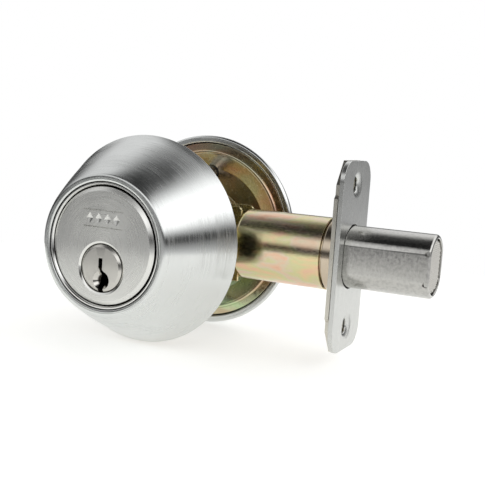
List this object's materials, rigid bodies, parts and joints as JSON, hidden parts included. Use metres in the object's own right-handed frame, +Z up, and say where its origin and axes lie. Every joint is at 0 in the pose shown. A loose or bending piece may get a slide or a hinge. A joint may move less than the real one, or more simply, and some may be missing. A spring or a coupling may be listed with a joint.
{
  "type": "deadbolt door lock",
  "caption": "Tapered round deadbolt lock with keyed cylinder, tubular latch, thrown bolt, edge faceplate and interior thumbturn rose.",
  "frame": {"origin": "where the axis of the door's cross bore meets the latch axis, halfway through the door", "axes": "+X along the bolt to the door's edge, -Y to the outside of the door where the key goes, +Y to the room, +Z up"},
  "size_m": [0.1184, 0.0931, 0.0654],
  "materials": {
    "satin_chrome": "satin chrome, brushed round the axis",
    "polished_nickel": "bright nickel plate",
    "dichromate": "yellow zinc dichromate",
    "hardened_steel": "hardened and ground",
    "zinc_steel": "bright zinc plate",
    "spring_steel": "oiled spring steel",
    "brass": "turned brass",
    "nickel_silver": "satin nickel plate on brass"
  },
  "bodies": {
    "lock_body": {"cylinder_body": "nickel_silver", "chamber_cap": "brass", "driver_pin_1": "nickel_silver", "driver_pin_2": "nickel_silver", "driver_pin_3": "nickel_silver", "driver_pin_4": "nickel_silver", "driver_pin_5": "nickel_silver", "pin_spring_1": "spring_steel", "pin_spring_2": "spring_steel", "pin_spring_3": "spring_steel", "pin_spring_4": "spring_steel", "pin_spring_5": "spring_steel", "drill_pin_left": "hardened_steel", "drill_pin_right": "hardened_steel", "anchor_plate": "zinc_steel", "post_top": "zinc_steel", "post_bottom": "zinc_steel", "cylinder_screw_left": "zinc_steel", "cylinder_screw_right": "zinc_steel", "latch_tube": "dichromate", "front_bush": "polished_nickel", "faceplate": "satin_chrome", "backplate": "zinc_steel", "case_plate_outside": "dichromate", "case_plate_inside": "dichromate", "case_spacer_rear": "zinc_steel", "case_spacer_middle": "zinc_steel", "case_spacer_front": "zinc_steel", "detent_leaf": "spring_steel", "turn_washer": "brass", "interior_rose": "satin_chrome", "rose_screw": "zinc_steel", "mounting_plate": "dichromate", "through_bolt_top": "zinc_steel", "through_bolt_bottom": "zinc_steel"},
    "collar": {"collar": "satin_chrome", "collar_ring": "hardened_steel"},
    "plug": {"plug": "polished_nickel", "plug_clip": "spring_steel", "key_pin_1": "brass", "key_pin_2": "brass", "key_pin_3": "brass", "key_pin_4": "brass", "key_pin_5": "brass"},
    "tailpiece": {"tailpiece": "zinc_steel"},
    "crank": {"crank_hub": "zinc_steel", "crank_pin": "hardened_steel"},
    "thumbturn": {"thumbturn": "satin_chrome", "turn_socket": "zinc_steel", "turn_clip": "spring_steel"},
    "bolt": {"bolt_shell": "polished_nickel", "bolt_end": "polished_nickel", "bolt_tail": "zinc_steel", "tail_rivet_bottom": "zinc_steel", "tail_rivet_top": "zinc_steel"},
    "roller": {"bolt_roller": "hardened_steel"}
  },
  "joints": [
    {"name": "thumbturn_turn", "type": "hinge", "parent": "lock_body", "child": "thumbturn", "pos_m": [0, 0.036, -0.00635], "axis": [0, -1, 0], "range_deg": [0, 90]},
    {"name": "tailpiece_turn", "type": "hinge", "parent": "lock_body", "child": "tailpiece", "pos_m": [0, 0, -0.00635], "axis": [0, -1, 0], "range_deg": [0, 90]},
    {"name": "crank_turn", "type": "hinge", "parent": "lock_body", "child": "crank", "pos_m": [0, 0, -0.00635], "axis": [0, -1, 0], "range_deg": [0, 90]},
    {"name": "plug_turn", "type": "hinge", "parent": "lock_body", "child": "plug", "pos_m": [0, -0.03, -0.00635], "axis": [0, -1, 0], "range_deg": [0, 90]},
    {"name": "bolt_slide", "type": "slide", "parent": "lock_body", "child": "bolt", "axis": [1, 0, 0], "range_m": [-0.0254, 0]},
    {"name": "collar_spin", "type": "hinge", "parent": "lock_body", "child": "collar", "pos_m": [0, -0.03, 0], "axis": [0, -1, 0], "continuous": true},
    {"name": "roller_spin", "type": "hinge", "parent": "bolt", "child": "roller", "pos_m": [0.07, 0, 0], "axis": [1, 0, 0], "continuous": true}
  ],
  "couplings": [
    {"joint": "tailpiece_turn", "follows": "thumbturn_turn", "ratio": 1},
    {"joint": "crank_turn", "follows": "thumbturn_turn", "ratio": 1},
    {"joint": "plug_turn", "follows": "thumbturn_turn", "ratio": 1},
    {"joint": "bolt_slide", "follows": "thumbturn_turn", "m_per_rad": -0.01617}
  ]
}
